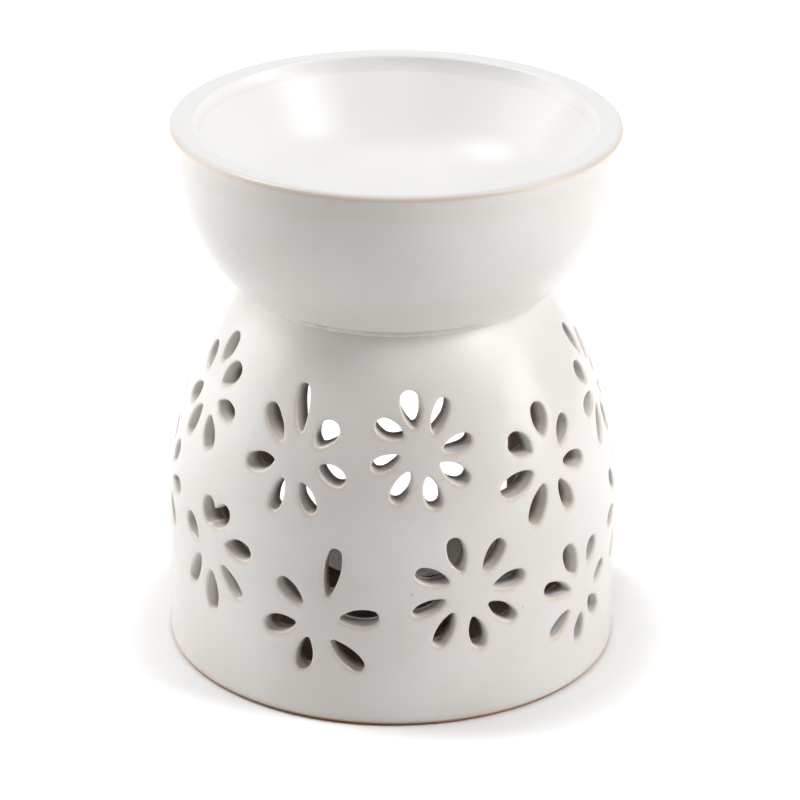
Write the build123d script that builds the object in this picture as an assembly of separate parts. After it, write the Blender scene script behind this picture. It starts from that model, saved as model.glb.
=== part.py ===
from build123d import *

import os
from math import acos, asin, atan2, cos, degrees, radians, sin, sqrt, tan

# Essential oil burner: a pierced ceramic chamber for a tealight, with an oil bowl luted on its neck.
# Millimetres, +Z up, origin at the centre of the foot. The front faces -Y and the arch faces +Y.

# Chamber
body_radius = 51.7
body_straight_height = 33.0
neck_radius = 34.4
neck_height = 87.6
body_wall = 5.0
chamber_floor_height = 6.0
chamber_corner_radius = 4.0
foot_edge_radius = 1.2
foot_ring_width = 7.5
foot_recess_depth = 1.6

# Arch at the back, cut down to the chamber floor
arch_width = 55.5
arch_spring_height = 32.0
arch_rise = 20.0

# Slip that lutes the bowl to the neck, squeezed out as a bead
slip_thickness = 0.8
slip_bead_proud = 0.5
slip_land_inset = 1.0

# Oil bowl
bowl_radius = 50.8
bowl_height = 37.5
bowl_heel_radius = 9.0
bowl_inside_depth = 22.5
bowl_inside_lean = 33.0
bowl_inside_corner_radius = 22.0
bowl_recess_radius = 28.0
bowl_recess_depth = 8.5
rim_width = 5.5
rim_outer_round = 2.2
rim_inner_round = 1.5
heel_end_angle = 75.0

# Tealight that stands in the chamber and is drawn out through the arch
tealight_radius = 18.6
tealight_height = 15.0
tealight_foil = 0.4
tealight_lip_radius = 0.5
tealight_corner_radius = 1.2
tealight_floor_gap = 0.2
wax_fill_height = 12.4
wax_shrink_gap = 0.1
wax_edge_round = 0.8
wick_radius = 0.75
wick_above_wax = 6.5
tab_radius = 6.25
tab_thickness = 0.3
tab_neck_radius = 1.6
tab_neck_height = 3.6
tab_clearance = 0.05

# Cutters run past the faces that they cut by this much
overrun = 2.0

# Flowers. Each one is (azimuth from the front in degrees, height as a share of the neck height, petals).
# Each petal is (place round the flower in degrees from upright, inner end, outer end, width, swing).
# Ends and width are shares of flower_reach. The swing is how far the petal turns from pointing outwards.
flower_reach = 14.0
petal_inner_end_share = 0.30
petal_widest_share = 0.58

even_seven_shares = (
    (4, 0.42, 0.98, 0.27, 2),
    (54, 0.40, 0.93, 0.26, -5),
    (103, 0.41, 0.95, 0.28, 3),
    (157, 0.43, 1.02, 0.25, 0),
    (-152, 0.40, 0.98, 0.26, -4),
    (-101, 0.42, 0.92, 0.28, 5),
    (-47, 0.41, 0.97, 0.25, -2),
)
even_eight_shares = (
    (-3, 0.43, 1.00, 0.26, 3),
    (41, 0.42, 0.97, 0.25, -4),
    (86, 0.45, 0.98, 0.27, 0),
    (131, 0.43, 0.99, 0.25, 4),
    (178, 0.42, 1.02, 0.26, -2),
    (-140, 0.46, 1.05, 0.25, 2),
    (-93, 0.44, 0.97, 0.27, -5),
    (-46, 0.43, 1.02, 0.25, 0),
)
upper_left_limb_shares = (
    (6, 0.47, 1.01, 0.30, 3),
    (50, 0.36, 0.86, 0.33, -15),
    (104, 0.41, 0.89, 0.30, 2),
    (151, 0.48, 1.03, 0.31, 8),
    (-162, 0.36, 0.99, 0.28, 6),
    (-118, 0.30, 0.80, 0.31, -20),
    (-46, 0.37, 0.84, 0.27, 26),
)
upper_left_shares = (
    (-48, 0.36, 1.00, 0.27, 14),
    (-4, 0.38, 1.15, 0.22, -3),
    (46, 0.36, 0.86, 0.35, -12),
    (107, 0.40, 0.88, 0.29, 10),
    (159, 0.42, 0.93, 0.25, -8),
    (-159, 0.43, 0.99, 0.22, -8),
    (-108, 0.42, 0.95, 0.31, 0),
)
upper_front_shares = (
    (-13, 0.35, 0.95, 0.31, 4),
    (32, 0.32, 0.90, 0.23, -9),
    (84, 0.34, 0.83, 0.25, -14),
    (128, 0.37, 0.90, 0.28, 0),
    (169, 0.45, 0.97, 0.27, -3),
    (-152, 0.40, 0.95, 0.26, -3),
    (-109, 0.36, 0.84, 0.24, -8),
    (-58, 0.36, 0.84, 0.30, -3),
)
upper_right_shares = (
    (-3, 0.45, 1.00, 0.31, 3),
    (46, 0.36, 0.86, 0.26, -12),
    (102, 0.31, 0.85, 0.27, -1),
    (158, 0.37, 0.93, 0.28, 1),
    (-149, 0.37, 1.04, 0.30, -3),
    (-102, 0.41, 1.07, 0.33, -7),
    (-53, 0.46, 0.97, 0.37, 3),
)
upper_right_limb_shares = (
    (-6, 0.60, 1.17, 0.25, -9),
    (-47, 0.32, 0.78, 0.30, 16),
    (-104, 0.26, 0.77, 0.27, -4),
    (-152, 0.33, 0.96, 0.24, 1),
    (165, 0.40, 0.95, 0.24, 0),
    (118, 0.40, 0.88, 0.25, 3),
    (72, 0.40, 0.88, 0.26, 0),
    (32, 0.45, 1.00, 0.25, -3),
)
lower_left_limb_shares = (
    (-3, 0.43, 1.00, 0.26, 3),
    (41, 0.42, 0.97, 0.25, -4),
    (86, 0.45, 0.98, 0.27, 0),
    (131, 0.43, 0.99, 0.25, 4),
    (178, 0.42, 1.02, 0.26, -2),
    (-140, 0.46, 1.05, 0.25, 2),
    (-93, 0.44, 0.97, 0.27, -5),
    (-48, 0.38, 0.74, 0.25, 0),
)
lower_left_shares = (
    (-1, 0.29, 0.75, 0.31, -8),
    (31, 0.32, 0.84, 0.33, 9),
    (83, 0.48, 1.02, 0.31, 8),
    (131, 0.50, 1.10, 0.21, 4),
    (172, 0.52, 1.19, 0.29, 4),
    (-150, 0.41, 1.05, 0.25, -4),
    (-82, 0.24, 0.73, 0.27, 36),
)
lower_front_left_shares = (
    (17, 0.50, 1.34, 0.27, -8),
    (80, 0.41, 1.05, 0.29, 4),
    (136, 0.41, 1.10, 0.28, -3),
    (-163, 0.34, 0.93, 0.28, -7),
    (-105, 0.36, 0.94, 0.31, 0),
    (-44, 0.34, 0.90, 0.26, -3),
)
lower_front_right_shares = (
    (-17, 0.38, 0.96, 0.30, 4),
    (38, 0.40, 0.98, 0.27, -5),
    (85, 0.43, 1.01, 0.27, -5),
    (127, 0.45, 1.06, 0.26, 0),
    (168, 0.48, 1.06, 0.27, -3),
    (-149, 0.44, 1.05, 0.26, -5),
    (-109, 0.41, 0.96, 0.22, -3),
    (-64, 0.39, 0.95, 0.28, -5),
)
lower_right_shares = (
    (-28, 0.50, 1.12, 0.31, 3),
    (18, 0.51, 0.94, 0.26, 3),
    (75, 0.40, 0.82, 0.22, -13),
    (134, 0.28, 0.74, 0.28, 3),
    (-172, 0.36, 0.84, 0.23, 4),
    (-119, 0.44, 0.97, 0.22, -7),
    (-67, 0.43, 1.08, 0.27, -3),
)
flower_shares = (
    (-142.5, 0.775, even_seven_shares),
    (-104.5, 0.690, even_eight_shares),
    (-66.0, 0.775, upper_left_limb_shares),
    (-26.5, 0.704, upper_left_shares),
    (8.0, 0.743, upper_front_shares),
    (46.5, 0.652, upper_right_shares),
    (80.5, 0.745, upper_right_limb_shares),
    (117.0, 0.670, even_seven_shares),
    (151.5, 0.775, even_eight_shares),
    (-123.0, 0.300, even_seven_shares),
    (-86.0, 0.468, lower_left_limb_shares),
    (-53.5, 0.409, lower_left_shares),
    (-19.0, 0.283, lower_front_left_shares),
    (19.5, 0.371, lower_front_right_shares),
    (57.5, 0.256, lower_right_shares),
    (88.0, 0.400, even_eight_shares),
    (124.0, 0.290, even_seven_shares),
)

# Worked out from the sizes above
shoulder_inset = body_radius - neck_radius
shoulder_drop = neck_height - body_straight_height
shoulder_radius = (shoulder_inset**2 + shoulder_drop**2) / (2 * shoulder_inset)
shoulder_centre = (body_radius - shoulder_radius, body_straight_height)
chamber_radius = body_radius - body_wall
bowl_foot_height = neck_height + slip_thickness
rim_height = bowl_foot_height + bowl_height
tealight_foot_height = chamber_floor_height + tealight_floor_gap


def polar(centre, radius, angle):
    """Point at an angle in degrees round a centre, anticlockwise from +X."""
    return (centre[0] + radius * cos(radians(angle)), centre[1] + radius * sin(radians(angle)))


def arc(centre, radius, start, end):
    """Arc round a centre from one angle to another, in degrees."""
    middle = polar(centre, radius, (start + end) / 2)
    return ThreePointArc(polar(centre, radius, start), middle, polar(centre, radius, end))


def turned(edges):
    """Solid of revolution from a closed outline of radius and height."""
    outline = Plane.XZ * make_face(edges)
    return revolve(outline, axis=Axis.Z)


def corner(edge_before, edge_after):
    """Straight edge from the end of one edge to the start of the next."""
    return Line(edge_before @ 1, edge_after @ 0)


def shoulder_angle(inset, height):
    """Angle on the shoulder's arc at a height, for the outside or for a face inset from it."""
    return degrees(asin((height - body_straight_height) / (shoulder_radius - inset)))


def outside_radius(height):
    """Radius of the chamber's outside at a height."""
    rise = max(height - body_straight_height, 0)
    return shoulder_centre[0] + sqrt(shoulder_radius**2 - rise**2)


def outside_lean(height):
    """Angle in degrees by which the outside leans in from upright at a height."""
    rise = max(height - body_straight_height, 0)
    return degrees(asin(rise / shoulder_radius))


def body_shell():
    """Chamber with its closed floor, foot ring, shoulder and open neck."""
    ring_inner = body_radius - foot_ring_width
    foot_centre = (body_radius - foot_edge_radius, foot_edge_radius)
    foot_edge = arc(foot_centre, foot_edge_radius, -90, 0)
    outer_top = shoulder_angle(0, neck_height)
    inner_top = shoulder_angle(body_wall, neck_height)
    shoulder = arc(shoulder_centre, shoulder_radius, 0, outer_top)
    lining = arc(shoulder_centre, shoulder_radius - body_wall, inner_top, 0)
    corner_centre = (chamber_radius - chamber_corner_radius, chamber_floor_height + chamber_corner_radius)
    inside_corner = arc(corner_centre, chamber_corner_radius, 0, -90)
    recess = [(0, foot_recess_depth), (ring_inner, foot_recess_depth), (ring_inner, 0)]
    underside = Polyline(*recess, foot_edge @ 0)
    floor = Polyline(inside_corner @ 1, (0, chamber_floor_height), (0, foot_recess_depth))
    edges = [underside, foot_edge, corner(foot_edge, shoulder), shoulder, corner(shoulder, lining)]
    edges += [lining, corner(lining, inside_corner), inside_corner, floor]
    return turned(edges)


def arch_cutter():
    """Arch-topped block that runs from the axis out past the back of the wall."""
    half = arch_width / 2
    top = EllipticalCenterArc((0, arch_spring_height), half, arch_rise, start_angle=0, arc_size=180)
    right = Line((half, chamber_floor_height), (half, arch_spring_height))
    left = Line((-half, arch_spring_height), (-half, chamber_floor_height))
    sill = Line(left @ 1, right @ 0)
    outline = Plane.XZ * make_face([right, top, left, sill])
    return extrude(outline, amount=body_radius + overrun, dir=(0, 1, 0))


def petal_outline(length, width):
    """Pointed egg from its inner end at the origin along +Y: two end arcs and two side arcs."""
    half = width / 2
    low = petal_widest_share * length
    high = length - low
    inner_end = petal_inner_end_share * half
    side = (low**2 + half**2 - 2 * inner_end * low) / (2 * half - 2 * inner_end)
    outer_end = (2 * half * side - half**2 - high**2) / (2 * (side - high))
    side_centre = (half - side, low)
    inner_turn = degrees(atan2(inner_end - low, side - half))
    outer_turn = degrees(atan2(length - outer_end - low, side - half))
    right = arc(side_centre, side, inner_turn, outer_turn)
    left_start = (-(right @ 1).X, (right @ 1).Y)
    left_end = (-(right @ 0).X, (right @ 0).Y)
    left = ThreePointArc(left_start, (-half, low), left_end)
    outer = ThreePointArc(right @ 1, (0, length), left @ 0)
    inner = ThreePointArc(left @ 1, (0, 0), right @ 0)
    return make_face([right, outer, left, inner])


def petal_cutter(azimuth, height, petal):
    """One petal's cutter, drawn on the wall's slope and pushed in level, towards the axis."""
    turn, start_share, end_share, width_share, swing = petal
    start = start_share * flower_reach
    length = (end_share - start_share) * flower_reach
    middle = start + length / 2
    lean = outside_lean(height)
    side_step = degrees(middle * sin(radians(turn)) / outside_radius(height))
    level = height + middle * cos(radians(turn)) * cos(radians(lean))
    outward = radians(azimuth + side_step - 90)
    radial = Vector(cos(outward), sin(outward), 0)
    sideways = Vector(-sin(outward), cos(outward), 0)
    tilt = radians(outside_lean(level))
    normal = radial * cos(tilt) + Vector(0, 0, sin(tilt))
    place = Plane(
        origin=radial * (outside_radius(level) + overrun) + Vector(0, 0, level),
        x_dir=sideways,
        z_dir=normal,
    )
    outline = petal_outline(length, width_share * flower_reach)
    set_out = Rot(0, 0, -turn - swing) * Pos(0, -length / 2, 0) * outline
    return extrude(place * set_out, amount=2 * (body_wall + overrun), dir=-radial)


def burner_body():
    """Chamber with the arch and every petal cut through its wall."""
    cutters = [arch_cutter()]
    for azimuth, height_share, petals in flower_shares:
        for petal in petals:
            cutters.append(petal_cutter(azimuth, height_share * neck_height, petal))
    return body_shell() - cutters


def bowl_profile():
    """Outline of the bowl: foot, heel, side, rim, sloped inside, round corner, floor and domed recess."""
    side_level = rim_height - rim_outer_round
    heel_turn = radians(heel_end_angle)
    heel_centre = (
        neck_radius - bowl_heel_radius * cos(heel_turn),
        bowl_foot_height + bowl_heel_radius * sin(heel_turn),
    )
    across = heel_centre[0] - bowl_radius
    drop = side_level - heel_centre[1]
    side_radius = (across**2 + drop**2 - bowl_heel_radius**2) / (-2 * (across + bowl_heel_radius))
    side_centre = (bowl_radius - side_radius, side_level)
    heel_start = -degrees(atan2(drop, heel_centre[0] - side_centre[0]))
    heel = arc(heel_centre, bowl_heel_radius, -heel_end_angle, heel_start)
    side = arc(side_centre, side_radius, heel_start, 0)
    rim_outside = arc((bowl_radius - rim_outer_round, side_level), rim_outer_round, 0, 90)

    lean = radians(bowl_inside_lean)
    lip_centre = (bowl_radius - rim_width + rim_inner_round, rim_height - rim_inner_round)
    rim_inside = arc(lip_centre, rim_inner_round, 90, 180 - bowl_inside_lean)
    wall_top = rim_inside @ 1
    floor_level = rim_height - bowl_inside_depth
    corner_level = floor_level + bowl_inside_corner_radius
    wall_foot_level = corner_level - bowl_inside_corner_radius * sin(lean)
    wall_foot_radius = wall_top.X - (wall_top.Y - wall_foot_level) * tan(lean)
    corner_centre = (wall_foot_radius - bowl_inside_corner_radius * cos(lean), corner_level)
    inside_corner = arc(corner_centre, bowl_inside_corner_radius, -bowl_inside_lean, -90)

    dome_radius = (bowl_recess_radius**2 + bowl_recess_depth**2) / (2 * bowl_recess_depth)
    dome_top = bowl_foot_height + bowl_recess_depth
    dome_end = degrees(asin((dome_radius - bowl_recess_depth) / dome_radius))
    dome = arc((0, dome_top - dome_radius), dome_radius, 90, dome_end)
    floor = Polyline(inside_corner @ 1, (0, floor_level), (0, dome_top))
    edges = [heel, side, rim_outside, corner(rim_outside, rim_inside), rim_inside]
    edges += [corner(rim_inside, inside_corner), inside_corner, floor, dome, corner(dome, heel)]
    return edges


def joint_slip():
    """Flat ring of slip between neck and bowl, with its squeezed-out edge rounded."""
    bead_radius = slip_thickness / 2
    bead_centre = (neck_radius + slip_bead_proud - bead_radius, neck_height + bead_radius)
    land_inner = outside_radius(neck_height) - body_wall + slip_land_inset
    bead = arc(bead_centre, bead_radius, -90, 90)
    land = Polyline(bead @ 1, (land_inner, bowl_foot_height), (land_inner, neck_height), bead @ 0)
    return turned([bead, land])


def tealight_cup():
    """Pressed foil cup with a rounded bottom corner and a rolled lip."""
    top = tealight_foot_height + tealight_height
    inner_floor = tealight_foot_height + tealight_foil
    corner_centre = (tealight_radius - tealight_corner_radius, tealight_foot_height + tealight_corner_radius)
    outer_corner = arc(corner_centre, tealight_corner_radius, -90, 0)
    inner_corner = arc(corner_centre, tealight_corner_radius - tealight_foil, 0, -90)
    lip_centre = (tealight_radius, top - tealight_lip_radius)
    lip_drop = degrees(acos(tealight_foil / tealight_lip_radius))
    lip = arc(lip_centre, tealight_lip_radius, -90, 180 + lip_drop)
    edges = [outer_corner, corner(outer_corner, lip), lip, corner(lip, inner_corner), inner_corner]
    edges += [Polyline(inner_corner @ 1, (0, inner_floor), (0, tealight_foot_height), outer_corner @ 0)]
    return turned(edges)


def wick_tab():
    """Steel disc on the cup's floor with a short crimped neck that grips the wick."""
    base = tealight_foot_height + tealight_foil
    standing = (Align.CENTER, Align.CENTER, Align.MIN)
    disc = Cylinder(tab_radius, tab_thickness, align=standing)
    neck = Cylinder(tab_neck_radius, tab_neck_height, align=standing)
    bore = Cylinder(wick_radius, tab_neck_height, align=standing)
    return Pos(0, 0, base) * (disc + neck - bore)


def tealight_wax():
    """Wax cast round the tab and the wick, shrunk a little from the foil."""
    base = tealight_foot_height + tealight_foil
    outer = tealight_radius - tealight_foil - wax_shrink_gap
    top = tealight_foot_height + wax_fill_height
    low_round = tealight_corner_radius - tealight_foil
    shoulder = arc((outer - wax_edge_round, top - wax_edge_round), wax_edge_round, 0, 90)
    low = arc((outer - low_round, base + low_round), low_round, -90, 0)
    neck_top = base + tab_neck_height + tab_clearance
    disc_top = base + tab_thickness + tab_clearance
    neck_side = tab_neck_radius + tab_clearance
    disc_side = tab_radius + tab_clearance
    wick_side = wick_radius + tab_clearance
    hollow = Polyline(
        shoulder @ 1,
        (wick_side, top),
        (wick_side, neck_top),
        (neck_side, neck_top),
        (neck_side, disc_top),
        (disc_side, disc_top),
        (disc_side, base),
        low @ 0,
    )
    return turned([low, corner(low, shoulder), shoulder, hollow])


def tealight_wick():
    """Cotton wick from the cup's floor to above the wax, with a domed tip."""
    base = tealight_foot_height + tealight_foil
    tip_centre = (0, tealight_foot_height + wax_fill_height + wick_above_wax - wick_radius)
    tip = arc(tip_centre, wick_radius, 0, 90)
    sides = Polyline(tip @ 1, (0, base), (wick_radius, base), tip @ 0)
    return turned([tip, sides])


nodes = {
    "burner_body": burner_body(),
    "joint_slip": joint_slip(),
    "oil_bowl": turned(bowl_profile()),
    "tealight_cup": tealight_cup(),
    "wick_tab": wick_tab(),
    "tealight_wax": tealight_wax(),
    "tealight_wick": tealight_wick(),
}

os.makedirs("parts", exist_ok=True)
for name, solid in nodes.items():
    export_step(solid, f"parts/{name}.step")
    print(name, round(solid.volume), "mm3")
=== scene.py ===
import math
import random

import bmesh
import bpy
import numpy as np
from mathutils import Matrix, Vector
from mathutils.geometry import delaunay_2d_cdt
from mathutils.kdtree import KDTree


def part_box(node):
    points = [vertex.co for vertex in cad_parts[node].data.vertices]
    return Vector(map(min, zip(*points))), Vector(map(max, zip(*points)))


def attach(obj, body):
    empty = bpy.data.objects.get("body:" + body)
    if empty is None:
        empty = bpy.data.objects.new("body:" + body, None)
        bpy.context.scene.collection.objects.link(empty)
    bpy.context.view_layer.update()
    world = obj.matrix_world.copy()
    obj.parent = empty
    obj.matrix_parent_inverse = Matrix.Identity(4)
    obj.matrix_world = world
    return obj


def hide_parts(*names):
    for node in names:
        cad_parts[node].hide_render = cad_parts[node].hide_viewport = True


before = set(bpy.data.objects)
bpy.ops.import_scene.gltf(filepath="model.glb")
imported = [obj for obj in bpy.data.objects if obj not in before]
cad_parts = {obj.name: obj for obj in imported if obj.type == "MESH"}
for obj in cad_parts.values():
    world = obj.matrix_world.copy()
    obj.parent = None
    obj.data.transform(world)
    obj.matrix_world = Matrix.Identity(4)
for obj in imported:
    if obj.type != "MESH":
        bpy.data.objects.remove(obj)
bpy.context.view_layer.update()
mm = 0.001  # the dictionaries hold millimetres, the scene is in metres
print("frame loaded")


# camera
cameraSetup = {
    "elevation": 23.38,  # degrees above the horizon
    "distance": 870.8,
    "aim": (1.5, 0.0, 57.4),
    "roll": 0.65,  # degrees
    "focalLength": 170.0,  # for a 36 mm wide sensor
}


def addCamera(setup):
    lift = math.radians(setup["elevation"])
    roll = math.radians(setup["roll"])
    forward = Vector((0, math.cos(lift), -math.sin(lift)))
    upward = Vector((0, math.sin(lift), math.cos(lift)))
    right = Vector((1, 0, 0))
    cameraX = right * math.cos(roll) + upward * math.sin(roll)
    cameraY = upward * math.cos(roll) - right * math.sin(roll)
    place = Vector(setup["aim"]) * mm - forward * setup["distance"] * mm
    data = bpy.data.cameras.new("camera")
    data.lens = setup["focalLength"]
    data.clip_start = 0.05
    data.clip_end = 30
    camera = bpy.data.objects.new("camera", data)
    turn = Matrix((cameraX, cameraY, -forward)).transposed()
    camera.matrix_world = Matrix.Translation(place) @ turn.to_4x4()
    bpy.context.scene.collection.objects.link(camera)
    bpy.context.scene.camera = camera


addCamera(cameraSetup)
print("camera placed")


# sizes that the pieces share
_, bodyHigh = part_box("burner_body")
bowlLow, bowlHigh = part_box("oil_bowl")
cupLow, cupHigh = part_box("tealight_cup")
wickLow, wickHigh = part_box("tealight_wick")
bodyRadius = bodyHigh.x / mm
neckHeight = bodyHigh.z / mm


# mesh helpers
def newPiece(name, points, faces, material, sharpAngle=50):
    mesh = bpy.data.meshes.new(name)
    mesh.from_pydata([tuple(p) for p in np.asarray(points, float) * mm], [], faces)
    work = bmesh.new()
    work.from_mesh(mesh)
    bmesh.ops.remove_doubles(work, verts=work.verts, dist=0.002 * mm)
    bmesh.ops.delete(work, geom=[v for v in work.verts if not v.link_faces], context="VERTS")
    openEdges = sum(1 for e in work.edges if not e.is_manifold)
    work.to_mesh(mesh)
    work.free()
    mesh.polygons.foreach_set("use_smooth", [True] * len(mesh.polygons))
    mesh.set_sharp_from_angle(angle=math.radians(sharpAngle))
    mesh.materials.append(material)
    piece = bpy.data.objects.new(name, mesh)
    bpy.context.scene.collection.objects.link(piece)
    print(name, "points", len(mesh.vertices), "faces", len(mesh.polygons), "open edges", openEdges)
    return piece


def meshPoints(piece):
    flat = np.zeros(len(piece.data.vertices) * 3)
    piece.data.vertices.foreach_get("co", flat)
    return flat.reshape(-1, 3) / mm


def setMask(piece, name, values):
    attribute = piece.data.attributes.new(name, "FLOAT", "POINT")
    attribute.data.foreach_set("value", np.asarray(values, np.float32))


def smoothStep(low, high, value):
    t = np.clip((value - low) / (high - low), 0, 1)
    return t * t * (3 - 2 * t)


def bell(distance, width):
    # 1 at no distance, falling off over the width
    return np.exp(-((distance / width) ** 2))


def arcPoints(centre, radius, start, end, count):
    angles = np.radians(np.linspace(start, end, count))
    return [(centre[0] + radius * math.cos(a), centre[1] + radius * math.sin(a)) for a in angles]


def spin(profile, columns, wave=None):
    # turns an outline of (radius, height) about the axis; wave may move each point a little
    points, faces, rows = [], [], []
    for radius, height in profile:
        if radius < 1e-6:
            rows.append([len(points)] * columns)
            points.append((0, 0, height))
            continue
        rows.append(list(range(len(points), len(points) + columns)))
        for i in range(columns):
            angle = 2 * math.pi * i / columns
            r, z = wave(radius, height, angle) if wave else (radius, height)
            points.append((r * math.sin(angle), -r * math.cos(angle), z))
    for low, high in zip(rows, rows[1:]):
        for i in range(columns):
            j = (i + 1) % columns
            corners = list(dict.fromkeys((low[i], low[j], high[j], high[i])))
            if len(corners) > 2:
                faces.append(corners)
    return points, faces


# chamber: thrown wall, arch and hand-cut flowers
chamber = {
    "straightHeight": 33.0,  # the wall is upright to here, then curves in to the neck
    "neckRadius": 34.4,
    "wall": 5.0,
    "floorHeight": 6.0,
    "floorCorner": 4.0,
    "footRound": 1.2,
    "footRing": 7.5,
    "footRecess": 1.6,
    "cutRound": 0.55,  # glaze softens the outer edge of each petal by this much
    "archRound": 1.0,
    "liningRound": 0.45,
    "wobble": 0.05,  # unevenness of the knife, outside and inside
    "liningWobble": 0.14,
    "squareEdge": 2.0,
    "recessCorner": 0.7,
    "ringEdge": 0.5,
    "columns": 216,
    "skinStep": 1.6,
    "liningStep": 2.4,
    "floorStep": 3.0,
    "wallRows": (0.3, 0.65),  # shares of the way from a petal's outer edge to its inner one
    "wallLevels": 4000,
    "rowShare": 0.87,  # rows of points lie this share of a step apart
    "skinGuards": (0.45, 1.3),  # rings of points round a petal, from its rounded edge
    "archGuard": 0.9,
    "liningGuard": 0.7,
    "skinMargin": 0.8,  # no points of the grid so near the upper or lower edge
    "liningMargin": 0.6,
    "pointGap": 0.62,
    "floorGap": 1.2,
}
arch = {
    "width": 55.5,
    "springHeight": 32.0,
    "rise": 20.0,
    "sillPoints": 14,
    "sidePoints": 16,
    "topPoints": 22,
}
petalForm = {"reach": 14.0, "innerEnd": 0.30, "widest": 0.58, "endPoints": 7, "sidePoints": 12}

# each petal: place round the flower in degrees from upright, inner end, outer end and width
# in hundredths of the reach, swing off outwards in degrees
evenSeven = [
    (4, 42, 98, 27, 2), (54, 40, 93, 26, -5), (103, 41, 95, 28, 3), (157, 43, 102, 25, 0),
    (-152, 40, 98, 26, -4), (-101, 42, 92, 28, 5), (-47, 41, 97, 25, -2),
]
evenEight = [
    (-3, 43, 100, 26, 3), (41, 42, 97, 25, -4), (86, 45, 98, 27, 0), (131, 43, 99, 25, 4),
    (178, 42, 102, 26, -2), (-140, 46, 105, 25, 2), (-93, 44, 97, 27, -5), (-46, 43, 102, 25, 0),
]
upperLeftLimb = [
    (6, 47, 101, 30, 3), (50, 36, 86, 33, -15), (104, 41, 89, 30, 2), (151, 48, 103, 31, 8),
    (-162, 36, 99, 28, 6), (-118, 30, 80, 31, -20), (-46, 37, 84, 27, 26),
]
upperLeft = [
    (-48, 36, 100, 27, 14), (-4, 38, 115, 22, -3), (46, 36, 86, 35, -12), (107, 40, 88, 29, 10),
    (159, 42, 93, 25, -8), (-159, 43, 99, 22, -8), (-108, 42, 95, 31, 0),
]
upperFront = [
    (-13, 35, 95, 31, 4), (32, 32, 90, 23, -9), (84, 34, 83, 25, -14), (128, 37, 90, 28, 0),
    (169, 45, 97, 27, -3), (-152, 40, 95, 26, -3), (-109, 36, 84, 24, -8), (-58, 36, 84, 30, -3),
]
upperRight = [
    (-3, 45, 100, 31, 3), (46, 36, 86, 26, -12), (102, 31, 85, 27, -1), (158, 37, 93, 28, 1),
    (-149, 37, 104, 30, -3), (-102, 41, 107, 33, -7), (-53, 46, 97, 37, 3),
]
upperRightLimb = [
    (-6, 60, 117, 25, -9), (-47, 32, 78, 30, 16), (-104, 26, 77, 27, -4), (-152, 33, 96, 24, 1),
    (165, 40, 95, 24, 0), (118, 40, 88, 25, 3), (72, 40, 88, 26, 0), (32, 45, 100, 25, -3),
]
lowerLeftLimb = evenEight[:-1] + [(-48, 38, 74, 25, 0)]  # the last stays short of the flower above
lowerLeft = [  # the first two were cut into each other
    (-1, 29, 75, 31, -8), (31, 32, 84, 33, 9), (83, 48, 102, 31, 8), (131, 50, 110, 21, 4),
    (172, 52, 119, 29, 4), (-150, 41, 105, 25, -4), (-82, 24, 73, 27, 36),
]
lowerFrontLeft = [
    (17, 50, 134, 27, -8), (80, 41, 105, 29, 4), (136, 41, 110, 28, -3),
    (-163, 34, 93, 28, -7), (-105, 36, 94, 31, 0), (-44, 34, 90, 26, -3),
]
lowerFrontRight = [
    (-17, 38, 96, 30, 4), (38, 40, 98, 27, -5), (85, 43, 101, 27, -5), (127, 45, 106, 26, 0),
    (168, 48, 106, 27, -3), (-149, 44, 105, 26, -5), (-109, 41, 96, 22, -3), (-64, 39, 95, 28, -5),
]
lowerRight = [
    (-28, 50, 112, 31, 3), (18, 51, 94, 26, 3), (75, 40, 82, 22, -13), (134, 28, 74, 28, 3),
    (-172, 36, 84, 23, 4), (-119, 44, 97, 22, -7), (-67, 43, 108, 27, -3),
]
# each flower: azimuth from the front in degrees, height as a share of the neck's, petals
flowers = [
    (-142.5, 0.775, evenSeven),
    (-104.5, 0.690, evenEight),
    (-66.0, 0.775, upperLeftLimb),
    (-26.5, 0.704, upperLeft),
    (8.0, 0.743, upperFront),
    (46.5, 0.652, upperRight),
    (80.5, 0.745, upperRightLimb),
    (117.0, 0.670, evenSeven),
    (151.5, 0.775, evenEight),
    (-123.0, 0.300, evenSeven),
    (-86.0, 0.468, lowerLeftLimb),
    (-53.5, 0.409, lowerLeft),
    (-19.0, 0.283, lowerFrontLeft),
    (19.5, 0.371, lowerFrontRight),
    (57.5, 0.256, lowerRight),
    (88.0, 0.400, evenEight),
    (124.0, 0.290, evenSeven),
]

shoulderInset = bodyRadius - chamber["neckRadius"]
shoulderDrop = neckHeight - chamber["straightHeight"]
shoulderRadius = (shoulderInset**2 + shoulderDrop**2) / (2 * shoulderInset)
shoulderCentre = bodyRadius - shoulderRadius
dice = random.Random(7)


def shoulderRise(level):
    return np.maximum(np.asarray(level, float) - chamber["straightHeight"], 0)


def outerRadius(level):
    return shoulderCentre + np.sqrt(shoulderRadius**2 - shoulderRise(level) ** 2)


def innerRadius(level):
    corner = chamber["floorCorner"]
    wall = shoulderCentre + np.sqrt((shoulderRadius - chamber["wall"]) ** 2 - shoulderRise(level) ** 2)
    drop = np.clip(chamber["floorHeight"] + corner - np.asarray(level, float), 0, corner)
    return wall - corner + np.sqrt(corner**2 - drop**2)


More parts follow.
